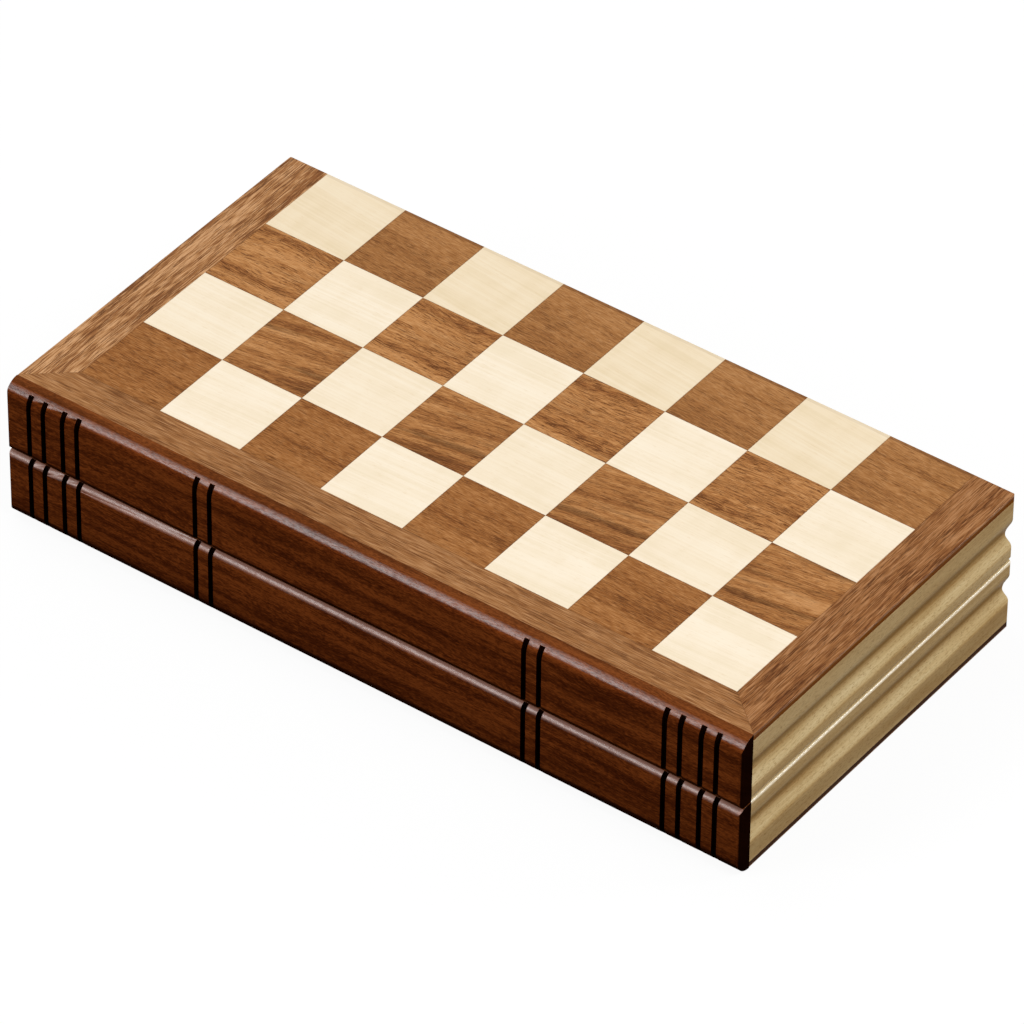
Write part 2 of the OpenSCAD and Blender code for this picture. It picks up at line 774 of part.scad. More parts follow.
panel();  // lower_panel
light_squares(1);  // lower_light_squares
dark_squares(0);  // lower_dark_squares
border();  // lower_border
spine();  // lower_spine
page_rail(lower_pages);  // lower_right_page_rail
mirror([1, 0, 0]) page_rail(lower_pages);  // lower_left_page_rail
hinge_rail();  // lower_hinge_rail
tray();  // lower_tray
hinge_leaves(outer_knuckles, middle_space);  // lower_hinge_leaves
hinge_screws();  // lower_hinge_screws
magnets();  // lower_magnets
in_upper() panel();  // upper_panel
in_upper() light_squares(0);  // upper_light_squares
in_upper() dark_squares(1);  // upper_dark_squares
in_upper() border();  // upper_border
in_upper() spine();  // upper_spine
in_upper() page_rail(upper_pages);  // upper_right_page_rail
in_upper() mirror([1, 0, 0]) page_rail(upper_pages);  // upper_left_page_rail
in_upper() hinge_rail();  // upper_hinge_rail
in_upper() tray();  // upper_tray
in_upper() hinge_leaves(middle_knuckle, outer_spaces);  // upper_hinge_leaves
in_upper() hinge_screws();  // upper_hinge_screws
in_upper() magnets();  // upper_magnets
hinge_pins();
felt_pads();  // light_felt_pads
in_upper() felt_pads();  // dark_felt_pads
for (i = [0 : files - 1]) {
    light_officer(i);
    dark_officer(i);
    light_pawn(i);
    dark_pawn(i);
}
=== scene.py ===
"""Looks of the folding travel chess set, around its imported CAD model.

Lengths are in metres and in the row frame: +X runs along the spine, +Y from the spine to the hinges and +Z
up through the lid. A length whose name ends in _mm is in millimetres. Every wood is worked out in
millimetres along, across and into its grain, from the piece's own coordinates, so that it moves with the
piece. A colour of three values is a screen colour from 0 to 255, and one of four values is linear.
"""

import json
import math

import bmesh
import bpy
from mathutils import Matrix, Vector, noise

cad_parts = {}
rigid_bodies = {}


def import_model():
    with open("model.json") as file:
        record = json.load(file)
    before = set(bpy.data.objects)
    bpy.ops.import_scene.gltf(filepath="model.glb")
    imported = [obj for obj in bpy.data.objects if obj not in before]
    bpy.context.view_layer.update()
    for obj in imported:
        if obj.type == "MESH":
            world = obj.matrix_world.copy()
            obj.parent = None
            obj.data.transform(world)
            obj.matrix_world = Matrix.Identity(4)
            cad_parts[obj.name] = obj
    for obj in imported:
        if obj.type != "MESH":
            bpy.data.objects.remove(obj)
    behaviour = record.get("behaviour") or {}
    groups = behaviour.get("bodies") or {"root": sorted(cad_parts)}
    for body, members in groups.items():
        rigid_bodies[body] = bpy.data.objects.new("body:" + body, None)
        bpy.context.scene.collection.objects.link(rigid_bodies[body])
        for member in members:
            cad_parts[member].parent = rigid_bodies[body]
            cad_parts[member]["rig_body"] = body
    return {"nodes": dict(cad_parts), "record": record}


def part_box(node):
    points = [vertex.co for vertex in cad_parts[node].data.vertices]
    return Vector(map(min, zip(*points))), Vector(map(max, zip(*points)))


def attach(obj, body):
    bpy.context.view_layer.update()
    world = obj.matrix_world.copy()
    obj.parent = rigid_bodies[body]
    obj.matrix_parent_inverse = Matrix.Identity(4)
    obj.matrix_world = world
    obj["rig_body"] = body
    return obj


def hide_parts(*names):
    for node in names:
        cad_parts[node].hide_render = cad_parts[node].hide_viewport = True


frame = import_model()
bpy.context.view_layer.update()
scene = bpy.context.scene
NODES = frame["nodes"]
SLOT_OF = {part["node"]: part["material_slot"] for part in frame["record"]["subparts"]}

MM = 0.001
FILES, RANKS = 8, 4

# The chequer's grid and the edges round it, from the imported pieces
grid_low, grid_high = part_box("upper_dark_squares")
panel_low, panel_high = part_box("upper_panel")
SQUARE_MM = (grid_high.x - grid_low.x) / FILES / MM
GRID_X_MM, GRID_Y_MM = grid_low.x / MM, grid_low.y / MM
END_X_MM = panel_high.x / MM
BORDER_X_MM = END_X_MM + GRID_X_MM
BORDER_Y_MM = GRID_Y_MM - panel_low.y / MM
SPINE_FACE_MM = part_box("upper_spine")[0].y / MM
# A height just under the gap between the two rims
RIM_MM = panel_high.z / 2 / MM

# The dark line between two squares: how far in it starts, and how far in it is full
JOINT_MM, JOINT_CORE_MM = 0.35, 0.05


# Materials


def srgb(red, green, blue):
    """The linear colour that a node takes, from screen values."""
    def linear(value):
        value /= 255
        return value / 12.92 if value <= 0.04045 else ((value + 0.055) / 1.055) ** 2.4
    return (linear(red), linear(green), linear(blue), 1.0)


class Material:
    """A material being built. Its methods add nodes, take sockets or plain values, and return sockets."""

    def __init__(self, name):
        self.data = bpy.data.materials.new(name)
        self.data.use_nodes = True
        self.tree = self.data.node_tree
        self.shader = self.tree.nodes["Principled BSDF"]

    def feed(self, socket, value):
        if isinstance(value, bpy.types.NodeSocket):
            self.tree.links.new(value, socket)
        else:
            socket.default_value = value

    def node(self, kind, inputs=(), output=0, **settings):
        made = self.tree.nodes.new("ShaderNode" + kind)
        for key, value in settings.items():
            setattr(made, key, value)
        for key, value in dict(inputs).items():
            self.feed(made.inputs[key], value)
        return made.outputs[output]

    def math(self, operation, *values, clamp=False):
        return self.node("Math", enumerate(values), operation=operation, use_clamp=clamp)

    def plus(self, first, second):
        return self.math("ADD", first, second)

    def minus(self, first, second):
        return self.math("SUBTRACT", first, second)

    def times(self, *values):
        product = values[0]
        for value in values[1:]:
            product = self.math("MULTIPLY", product, value)
        return product

    def weighed(self, *parts):
        """The sum of the parts, each a value and its weight."""
        total = 0.0
        for value, weight in parts:
            total = self.math("MULTIPLY_ADD", value, weight, total)
        return total

    def absolute(self, value):
        return self.math("ABSOLUTE", value)

    def split(self, vector):
        return tuple(self.node("SeparateXYZ", {0: vector}).node.outputs)

    def join(self, x, y, z):
        return self.node("CombineXYZ", {0: x, 1: y, 2: z})

    def place(self):
        """The piece's own coordinates in millimetres, as three sockets."""
        point = self.node("TexCoord", output="Object")
        return self.split(self.node("VectorMath", {0: point, "Scale": 1 / MM}, operation="SCALE"))

    def facing(self):
        """The surface's normal in the piece's own coordinates, as three sockets."""
        return self.split(self.node("TexCoord", output="Normal"))

    def noise(self, point, cell_mm, detail=2.0, roughness=0.5, distortion=0.0):
        """Noise from 0 to 1. cell_mm is the size of its cells along, across and into the grain."""
        scaled = self.node("VectorMath", {0: point, 1: [1 / size for size in cell_mm]}, operation="MULTIPLY")
        return self.node("TexNoise", {"Vector": scaled, "Scale": 1.0, "Detail": detail,
                                      "Roughness": roughness, "Distortion": distortion}, output="Fac")

    def ramp(self, value, low, high, to_low=0.0, to_high=1.0):
        """Moves a value from low to high on to to_low to to_high, with soft ends."""
        return self.node("MapRange", {"Value": value, "From Min": low, "From Max": high, "To Min": to_low,
                                      "To Max": to_high}, interpolation_type="SMOOTHSTEP")

    def band(self, value, low, full, fade, high):
        """1 while the value lies from full to fade, and 0 below low and above high."""
        return self.times(self.ramp(value, low, full), self.ramp(value, high, fade))

    def stops(self, value, places, colours):
        """A colour ramp node with linear colours at the places given."""
        made = self.node("ValToRGB", {0: value}).node
        elements = made.color_ramp.elements
        while len(elements) < len(places):
            elements.new(0.5)
        for element, place, colour in zip(elements, places, colours):
            element.position = place
            element.color = colour
        return made

    def colours(self, value, *shades):
        """A colour between the shades, which are spread evenly over values from 0 to 1."""
        places = [i / (len(shades) - 1) for i in range(len(shades))]
        return self.stops(value, places, [srgb(*shade) for shade in shades]).outputs["Color"]

    def pick(self, index, values):
        """The value whose number is index. The values lie between -1 and 1."""
        share = self.math("DIVIDE", self.plus(index, 0.5), len(values))
        places = [i / len(values) for i in range(len(values))]
        made = self.stops(share, places, [(0.5 + value / 2,) * 3 + (1.0,) for value in values])
        made.color_ramp.interpolation = "CONSTANT"
        return self.math("MULTIPLY_ADD", made.outputs["Color"], 2.0, -1.0)

    def mix(self, share, first, second, blend="MIX"):
        return self.node("Mix", {0: share, 6: first, 7: second}, output=2, data_type="RGBA", blend_type=blend)

    def mix_value(self, share, first, second):
        return self.node("Mix", {0: share, 2: first, 3: second})

    def mix_point(self, share, first, second):
        return self.node("Mix", {0: share, 4: first, 5: second}, output=1, data_type="VECTOR")

    def tinted(self, colour, tint):
        return self.mix(1.0, colour, tint, "MULTIPLY")

    def paint(self, colour, shade, *shares):
        """The colour with a shade laid over it. The product of the shares says how much of it shows."""
        return self.mix(self.times(*shares), colour, srgb(*shade))

    def bump(self, height, depth_mm, strength):
        """Bump for a height from 0 to 1, depth_mm from lowest to highest."""
        return self.node("Bump", {"Height": height, "Distance": depth_mm * MM, "Strength": strength})

    def finish(self, colour, bump=None, **sockets):
        """Sets the shader: its colour, its bump, and other sockets by name, underscores for spaces."""
        self.feed(self.shader.inputs["Base Color"], colour)
        if bump is not None:
            self.feed(self.shader.inputs["Normal"], bump)
        for key, value in sockets.items():
            self.feed(self.shader.inputs[key.replace("_", " ")], value)
        return self.data


def grain(m, point, wave_mm=0.8, band_mm=6.0, wander_mm=45.0, pore_mm=2.0, calm=0.0, speckle=0.0):
    """The figure of a wood cut along its grain: (tone, pores, fibre), each about 0 to 1.
    Its bands are about band_mm apart and drift across the grain by wave_mm over about wander_mm. Its pores
    are about pore_mm long. calm is the share of the bands' contrast that is left out, and speckle the
    contrast of the cut fibre ends."""
    drift = m.noise(point, (wander_mm, 14, 14))
    x, y, z = m.split(point)
    drifted = m.join(x, m.plus(y, m.times(m.minus(drift, 0.5), m.times(wave_mm, 8))), z)
    bands = m.noise(drifted, (band_mm * 14, band_mm, band_mm * 2), detail=3.0, roughness=0.6)
    fibre = m.noise(drifted, (3 * pore_mm, 0.45, 0.45), detail=3.0, roughness=0.9)
    pores = m.noise(drifted, (pore_mm, 0.3, 0.3), roughness=0.8)
    ends = m.noise(drifted, (0.8 * pore_mm, 0.4, 0.4), detail=1.0)
    tone = m.mix_value(calm, m.ramp(m.weighed((bands, 0.55), (fibre, 0.45)), 0.3, 0.7), 0.5)
    tone = m.plus(tone, m.times(m.minus(ends, 0.5), speckle))
    # Pores crowd together in the dark bands
    crowding = m.math("MULTIPLY_ADD", bands, -0.35, m.plus(pores, 0.175))
    return tone, m.ramp(crowding, 0.53, 0.62), fibre


def cell(m, x, y):
    """The square that a point of the board lies in: its file, its rank from the spine, and how far the point
    is from the square's middle, in millimetres along X and Y."""
    across = m.math("DIVIDE", m.minus(x, GRID_X_MM), SQUARE_MM)
    up = m.math("DIVIDE", m.minus(y, GRID_Y_MM), SQUARE_MM)
    file_no = m.math("FLOOR", across)
    rank = m.math("MINIMUM", m.math("FLOOR", up), RANKS - 1)
    from_x = m.times(m.minus(m.minus(across, file_no), 0.5), SQUARE_MM)
    from_y = m.times(m.minus(m.minus(up, rank), 0.5), SQUARE_MM)
    return file_no, rank, from_x, from_y


def square_grain(m, tilts, shift_mm, rank_shift_mm):
    """The grain coordinates of a veneered square, its rank, and 1 in its joints. Each rank comes from one
    strip of veneer, its grain tilted by the angle given in degrees, so its squares look alike."""
    x, y, z = m.place()
    file_no, rank, from_x, from_y = cell(m, x, y)
    largest = max(abs(tilt) for tilt in tilts)
    angle = m.times(m.pick(rank, [tilt / largest for tilt in tilts]), math.radians(largest))
    turned = m.node("VectorRotate", {"Vector": m.join(from_x, from_y, z), "Angle": angle},
                    rotation_type="Z_AXIS", invert=True)
    offset = m.join(m.times(file_no, shift_mm), m.times(rank, rank_shift_mm), z)
    edge = m.math("MAXIMUM", m.absolute(from_x), m.absolute(from_y))
    joint = m.ramp(edge, SQUARE_MM / 2 - JOINT_MM, SQUARE_MM / 2 - JOINT_CORE_MM)
    return m.node("VectorMath", {0: turned, 1: offset}, operation="ADD"), rank, joint


def rounded_edge(m, low, high):
    """1 on the rounded edges beside the piece's level faces, from normals whose height lies in the range."""
    return m.band(m.absolute(m.facing()[2]), low, low + 0.2, high - 0.15, high)


def lacquered_walnut(m, tone, pores, fibre, tint, joint, pore_share):
    pore = (84, 46, 20)
    colour = m.colours(tone, (126, 76, 38), (161, 109, 61), (190, 139, 90))
    colour = m.tinted(m.paint(colour, pore, pores, pore_share), tint)
    colour = m.paint(colour, pore, joint, 0.4)
    height = m.minus(m.times(fibre, 0.35), m.times(pores, 0.65))
    return m.finish(colour, m.bump(height, 0.05, 0.5), Roughness=m.ramp(fibre, 0.2, 0.8, 0.42, 0.58),
                    Specular_IOR_Level=0.05, Coat_Weight=m.times(rounded_edge(m, 0.2, 0.95), 0.3),
                    Coat_Roughness=0.25)


def walnut_squares():
    """Each row of four values gives one to each rank, from the spine's to the hinges'."""
    m = Material("walnut_veneer_figured")
    point, rank, joint = square_grain(m, tilts=(-1, 10, 2, -4), shift_mm=9, rank_shift_mm=83)
    tone, pores, fibre = grain(m, point, wave_mm=m.times(m.pick(rank, (0.2, 0.4, 0.9, 0.3)), 1.2),
                               pore_mm=4.5, calm=m.pick(rank, (0.35, 0.0, 0.2, 0.5)),
                               speckle=m.times(m.pick(rank, (1.0, 0.6, 0.75, 0.7)), 1.8))
    streaks = m.ramp(m.noise(point, (60, 4.5, 30), detail=3.0), 0.46, 0.3)
    shade = m.times(streaks, m.pick(rank, (0.25, 1.0, 0.35, 0.2)), 0.45)
    light = m.minus(m.math("MULTIPLY_ADD", m.pick(rank, (-1.0, 0.5, 0.95, -0.07)), 0.19, 1.05), shade)
    warm = m.pick(rank, (1.0, 0.0, -0.15, -0.15))
    green, blue = (m.times(light, m.math("MULTIPLY_ADD", warm, -share, 1.0)) for share in (0.1, 0.22))
    pore_share = m.math("MULTIPLY_ADD", m.pick(rank, (0.0, 0.3, 1.0, -0.3)), 0.25, 0.65)
    return lacquered_walnut(m, tone, pores, fibre, m.join(light, green, blue), joint, pore_share)


def walnut_border():
    """Three mitred strips. Beyond the mitre lines the grain runs along Y."""
    m = Material("walnut_border_figured")
    x, y, z = m.place()
    side = m.math("DIVIDE", m.plus(m.absolute(x), GRID_X_MM), BORDER_X_MM)
    front = m.math("DIVIDE", m.minus(GRID_Y_MM, y), BORDER_Y_MM)
    past_mitre = m.minus(side, front)
    in_side = m.math("GREATER_THAN", past_mitre, 0.0)
    left = m.math("LESS_THAN", x, 0.0)
    other_strip_mm = 300.0
    point = m.mix_point(in_side, m.join(x, y, z), m.join(y, m.plus(x, other_strip_mm), z))
    tone, pores, fibre = grain(m, point, wave_mm=0.2, band_mm=3.0, wander_mm=120.0, pore_mm=9.0,
                               calm=m.mix_value(in_side, 0.65, 0.2), speckle=2.2)
    contrast = m.times(in_side, m.math("MULTIPLY_ADD", left, 0.7, 0.2))
    tone = m.mix_value(contrast, tone, m.ramp(tone, 0.08, 0.92))
    side_tint = m.mix(left, (0.85, 0.82, 0.88, 1.0), (1.2, 1.32, 1.62, 1.0))
    tint = m.mix(in_side, (0.93, 0.95, 1.05, 1.0), side_tint)
    joint = m.ramp(m.absolute(past_mitre), 0.03, 0.0, 0.0, 0.4)
    return lacquered_walnut(m, tone, pores, fibre, tint, joint, m.mix_value(in_side, 0.65, 0.85))


def maple_squares():
    m = Material("maple_veneer_figured")
    point, rank, joint = square_grain(m, tilts=(2, -1, 1, -6), shift_mm=11, rank_shift_mm=61)
    drift = m.noise(point, (50, 9, 9), detail=1.0)
    lines = m.noise(point, (60, 0.9, 1.5), detail=3.0, roughness=0.6)
    flecks = m.noise(point, (3.2, 0.5, 0.5), detail=1.0)
    curl = m.noise(point, (6, 14, 14), detail=1.0)
    tone = m.ramp(m.weighed((drift, 0.35), (lines, 0.45), (curl, 0.2)), 0.3, 0.7)
    colour = m.colours(tone, (239, 222, 192), (246, 230, 204), (250, 237, 215))
    colour = m.mix(m.pick(rank, (0.0, 0.2, 0.0, 1.0)), colour, m.tinted(colour, srgb(247, 243, 234)))
    colour = m.paint(colour, (222, 192, 148), m.ramp(flecks, 0.6, 0.78), 0.3)
    colour = m.paint(colour, (240, 220, 184), m.ramp(curl, 0.45, 0.7), 0.08)
    colour = m.paint(colour, (120, 84, 50), joint, 0.12)
    return m.finish(colour, m.bump(lines, 0.02, 0.5), Roughness=m.ramp(lines, 0.3, 0.7, 0.38, 0.48),
                    Specular_IOR_Level=0.15)


def spine_walnut():
    """Walnut stained dark, with painted light on the faces turned up, and painted shade on the faces turned
    down, below the polished bands and towards the bottom. The lacquer is polished to a gloss along the
    rounded edges, the lower rim's top edge has a painted highlight, the ends are near black, and the cut
    walls of the grooves are painted near black as shade."""
    m = Material("stained_walnut_gloss")
    x, y, z = m.place()
    side_x, side_y, side_z = m.facing()
    tone, pores, fibre = grain(m, m.join(x, m.plus(y, z), y), wave_mm=1.0, band_mm=5.0, wander_mm=60.0,
                               calm=0.35, speckle=1.0)
    colour = m.colours(m.ramp(tone, 0.15, 0.85), (75, 30, 9), (105, 48, 17), (134, 67, 26))
    colour = m.paint(colour, (44, 15, 5), pores, 0.4)
    # Painted light: the faces turned up are made lighter
    painted_light_on_top = m.colours(tone, (86, 49, 24), (108, 66, 35), (128, 84, 48))
    colour = m.mix(m.ramp(side_z, 0.7, 1.0, 0.0, 0.4), colour, painted_light_on_top)
    # Painted shade: darker just below the polished band on each round, and darker towards the bottom of the
    # lower half
    shaded = (44, 13, 3)
    colour = m.paint(colour, shaded, m.band(side_z, 0.0, 0.15, 0.35, 0.55), 0.22)
    colour = m.paint(colour, shaded, m.ramp(z, 20.0, 0.0, 0.0, 0.42))
    # Painted shade: the faces turned down are made near black
    colour = m.paint(colour, (20, 5, 2), m.ramp(side_z, 0.05, -0.25, 0.0, 0.85))
    # The end grain is near black, and the grooves are painted near black as shade in their depth
    end_grain = m.ramp(m.absolute(side_x), 0.55, 0.85)
    groove_shade = m.times(m.ramp(side_y, -0.8, -0.9), m.ramp(m.minus(y, SPINE_FACE_MM), 1.0, 1.6))
    cut = m.math("MAXIMUM", end_grain, groove_shade)
    colour = m.paint(colour, (15, 4, 2), cut, 0.96)
    lower = m.math("LESS_THAN", z, RIM_MM)
    # Painted highlight: a pale band along the top edge of the lower half's rim
    painted_rim_highlight = m.times(lower, m.band(side_z, 0.4, 0.6, 0.93, 1.0), m.minus(1.0, cut))
    colour = m.paint(colour, (196, 152, 138), painted_rim_highlight, 0.55)
    polished = m.mix_value(lower, m.band(side_z, 0.5, 0.64, 0.84, 0.89),
                           m.band(side_z, 0.27, 0.47, 0.72, 0.86))
    rubs = m.ramp(m.noise(m.join(x, y, z), (2.5, 0.45, 0.45), roughness=0.8), 0.35, 0.65, 0.45, 1.3)
    height = m.minus(m.times(fibre, 0.4), m.times(pores, 0.8))
    return m.finish(colour, m.bump(height, 0.03, 0.4), Roughness=m.ramp(fibre, 0.2, 0.8, 0.36, 0.5),
                    Coat_Weight=m.math("MULTIPLY", polished, rubs, clamp=True), Coat_Roughness=0.22,
                    Specular_IOR_Level=0.0)


def page_rail_wood():
    """Pale poplar with its grain along Y, moulded like the pages of a book. Its faces turned up are painted
    lighter and its sides darker, as painted light and shade. Painted shade lies under the lips and deep in
    the coves, the rail is darker near its foot, and its rims are glossy with a pale painted highlight."""
    m = Material("page_wood_figured")
    x, y, z = m.place()
    side_z = m.facing()[2]
    point = m.join(y, z, x)
    lines = m.noise(point, (40, 0.6, 0.6), detail=4.0, roughness=0.7)
    bands = m.noise(point, (60, 6, 6), detail=3.0)
    flecks = m.noise(point, (1.8, 0.4, 0.4), roughness=0.8)
    tone = m.ramp(m.weighed((bands, 0.6), (lines, 0.4)), 0.3, 0.7)
    colour = m.colours(tone, (186, 152, 97), (206, 176, 123), (218, 194, 145))
    colour = m.paint(colour, (160, 122, 70), m.ramp(flecks, 0.5, 0.68), 0.6)
    # Painted light and shade: faces turned up are tinted lighter, the sides and undersides darker
    side_tint, painted_light_tint = (0.95, 0.9, 0.87, 1.0), (1.07, 1.13, 1.24, 1.0)
    colour = m.tinted(colour, m.mix(m.ramp(side_z, 0.3, 0.7), side_tint, painted_light_tint))
    # Painted shade under the lips and deep in the coves; the rail is also made darker near its foot
    depth_mm = m.minus(END_X_MM, m.absolute(x))
    under_lip = m.times(m.ramp(depth_mm, 0.0, 1.2), m.ramp(side_z, 0.2, -0.3))
    deep = m.ramp(depth_mm, 1.4, 3.2, 0.0, 0.5)
    near_foot = m.times(m.band(z, 2.0, 5.5, 8.0, 11.0), 0.6)
    painted_shade_and_dark_foot = m.math("MAXIMUM", m.math("MAXIMUM", under_lip, deep), near_foot)
    colour = m.mix(painted_shade_and_dark_foot, colour, m.tinted(colour, (0.66, 0.57, 0.42, 1.0)))
    # The rims get a glossy coat and a pale painted highlight
    at_rim = m.ramp(m.absolute(m.minus(z, RIM_MM)), 2.6, 1.8)
    rim_gloss_and_painted_highlight = m.times(rounded_edge(m, 0.2, 0.98), at_rim)
    colour = m.paint(colour, (254, 242, 214), rim_gloss_and_painted_highlight, 0.6)
    return m.finish(colour, m.bump(lines, 0.03, 0.5), Roughness=m.ramp(lines, 0.3, 0.7, 0.45, 0.6),
                    Coat_Weight=rim_gloss_and_painted_highlight, Coat_Roughness=0.12, Specular_IOR_Level=0.05)


def hinge_rail_wood():
    m = Material("hinge_rail_figured")
    x, y, z = m.place()
    tone, pores, fibre = grain(m, m.join(x, z, y), band_mm=4.0)
    colour = m.colours(tone, (178, 144, 92), (204, 174, 122), (218, 194, 146))
    colour = m.paint(colour, (142, 108, 68), pores, 0.3)
    return m.finish(colour, m.bump(fibre, 0.05, 0.6), Roughness=m.ramp(fibre, 0.3, 0.7, 0.45, 0.6),
                    Specular_IOR_Level=0.05)


def panel_wood():
    """The stained edge of the thin panel under the veneer, in plies."""
    ply_mm = 1.2
    m = Material("panel_core_plies")
    x, y, z = m.place()
    lines = m.noise(m.join(x, y, z), (12, 12, 0.3), detail=3.0)
    plies = m.math("SINE", m.times(z, 2 * math.pi / ply_mm))
    tone = m.ramp(m.math("MULTIPLY_ADD", plies, 0.12, lines), 0.3, 0.7)
    colour = m.colours(tone, (106, 52, 2), (132, 74, 6))
    # Painted shade: the lower panel's edge darkens towards the floor
    colour = m.paint(colour, (36, 16, 5), m.ramp(z, 4.0, 2.6, 0.0, 0.85))
    return m.finish(colour, m.bump(lines, 0.05, 0.6), Roughness=m.ramp(lines, 0.3, 0.7, 0.4, 0.6),
                    Specular_IOR_Level=0.02)


def turned_wood(name, shades, pore, pore_share):
    """Wood of the men, its grain along Y, which is the way they lie, with faint tool marks from the lathe."""
    m = Material(name)
    x, y, z = m.place()
    point = m.join(y, x, z)
    tone, pores, fibre = grain(m, point, wave_mm=0.4, band_mm=3.0)
    colour = m.paint(m.colours(tone, *shades), pore, pores, pore_share)
    lathe = m.noise(point, (0.35, 60, 60), detail=1.0)
    height = m.weighed((fibre, 0.5), (lathe, 0.5))
    return m.finish(colour, m.bump(height, 0.03, 0.5), Roughness=m.ramp(fibre, 0.2, 0.8, 0.36, 0.48),
                    Coat_Weight=0.15, Coat_Roughness=0.2, Specular_IOR_Level=0.25)


def boxwood():
    shades = (192, 144, 84), (222, 184, 126), (238, 208, 156)
    return turned_wood("boxwood_turned", shades, pore=(160, 112, 60), pore_share=0.3)


def dark_men_wood():
    shades = (38, 16, 9), (66, 32, 18), (92, 48, 28)
    return turned_wood("dark_men_wood_turned", shades, pore=(24, 10, 6), pore_share=0.5)


def velvet():
    """Short pile: mottled where it has been brushed each way, bright at grazing angles."""
    m = Material("velvet_pile")
    point = m.join(*m.place())
    brushed = m.noise(point, (18, 11, 11), detail=3.0, distortion=0.6)
    tufts = m.noise(point, (0.35, 0.35, 0.35))
    tone = m.ramp(m.weighed((tufts, 0.25), (brushed, 0.75)), 0.36, 0.64)
    colour = m.colours(tone, (16, 54, 36), (27, 77, 51))
    return m.finish(colour, m.bump(tufts, 0.18, 0.7), Roughness=0.95, Sheen_Weight=0.6, Sheen_Roughness=0.35,
                    Sheen_Tint=srgb(120, 176, 140), Specular_IOR_Level=0.1)


def felt():
    """Baize: fine fibres laid every way."""
    m = Material("felt_baize")
    point = m.join(*m.place())
    fibres = m.noise(point, (0.5, 0.5, 0.5), detail=5.0, roughness=0.75, distortion=1.2)
    colour = m.colours(m.ramp(fibres, 0.35, 0.65), (24, 78, 42), (62, 132, 78))
    return m.finish(colour, m.bump(fibres, 0.15, 0.8), Roughness=0.95, Sheen_Weight=0.3, Sheen_Roughness=0.5,
                    Specular_IOR_Level=0.1)


def brushed_metal(name, light, dark, brush_mm):
    """Metal with fine brush lines along X and a little tarnish."""
    m = Material(name)
    point = m.join(*m.place())
    lines = m.noise(point, (brush_mm, 0.12, 0.12), detail=3.0)
    tarnish = m.noise(point, (4, 4, 4), detail=3.0)
    colour = m.mix(m.ramp(tarnish, 0.4, 0.75, 0.0, 0.6), srgb(*light), srgb(*dark))
    return m.finish(colour, m.bump(lines, 0.01, 0.5), Metallic=1.0,
                    Roughness=m.ramp(lines, 0.3, 0.7, 0.24, 0.4))


LOOKS = {
    "walnut_veneer": walnut_squares(),
    "walnut_border": walnut_border(),
    "maple_veneer": maple_squares(),
    "stained_walnut": spine_walnut(),
    "panel_core": panel_wood(),
    "velvet": velvet(),
    "felt": felt(),
    "brass": brushed_metal("brass_brushed", light=(178, 138, 68), dark=(122, 88, 40), brush_mm=6.0),
    "magnet_metal": brushed_metal("nickel_plated", light=(116, 116, 119), dark=(86, 84, 82), brush_mm=0.5),
    "boxwood": boxwood(),
    "dark_men_wood": dark_men_wood(),
}
PAGE_RAIL = page_rail_wood()
HINGE_RAIL = hinge_rail_wood()


def look_of(node_name):
    """The page rails and the hinge rails share a slot, but their grain runs different ways."""
    if node_name.endswith("page_rail"):
        return PAGE_RAIL
    if node_name.endswith("hinge_rail"):
        return HINGE_RAIL
    return LOOKS[SLOT_OF[node_name]]


for node_name, node in NODES.items():
    node.data.materials.clear()
    node.data.materials.append(look_of(node_name))


# Pieces that stand for CAD nodes, on the same sizes

SPINE_EASE_MM = 0.3
RAIL_EASE_MM = 0.25
FELT_RIM_MM = 0.2
# How far the velvet's surface varies, the size of its patches, and the voxels that it is made from
PILE_MM = 0.25
PILE_PATCH_MM = 9
VOXEL_MM = 0.7
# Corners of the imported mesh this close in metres, and faces this level in degrees, become one
SAME_CORNER = 1e-6
SAME_FACE = 0.3


def copied(node_name, name):
    """A new piece with the node's mesh, joined up and with its flat faces whole."""
    mesh = bpy.data.meshes.new(name)
    work = bmesh.new()
    work.from_mesh(NODES[node_name].data)
    bmesh.ops.remove_doubles(work, verts=work.verts, dist=SAME_CORNER)
    bmesh.ops.dissolve_limit(work, angle_limit=math.radians(SAME_FACE), verts=work.verts, edges=work.edges)
    work.to_mesh(mesh)
    work.free()
    mesh.materials.append(NODES[node_name].data.materials[0])
    piece = bpy.data.objects.new(name, mesh)
    scene.collection.objects.link(piece)
    return piece


def stands_for(piece, node_name):
    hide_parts(node_name)
    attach(piece, NODES[node_name]["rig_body"])


def add_bevel(piece, width_mm, segments, sharpest):
    """Rounds the piece's edges that turn by more than an angle in degrees."""
    bevel = piece.modifiers.new("rounded", "BEVEL")
    bevel.width = width_mm * MM
    bevel.segments = segments
    bevel.limit_method = "ANGLE"
    bevel.angle_limit = math.radians(sharpest)


def applied(piece):
    """Applies the piece's modifiers to its mesh."""
    bpy.context.view_layer.update()
    evaluated = piece.evaluated_get(bpy.context.evaluated_depsgraph_get())
    mesh = bpy.data.meshes.new_from_object(evaluated)
    piece.modifiers.clear()
    piece.data = mesh


def eased(node_name, width_mm):
    """Replaces a wooden node with a copy whose edges have been eased with sandpaper."""
    piece = copied(node_name, node_name + "_eased")
    piece.data.shade_smooth()
    add_bevel(piece, width_mm, segments=2, sharpest=35)
    piece.modifiers.new("flat_faces", "WEIGHTED_NORMAL")
    applied(piece)
    stands_for(piece, node_name)


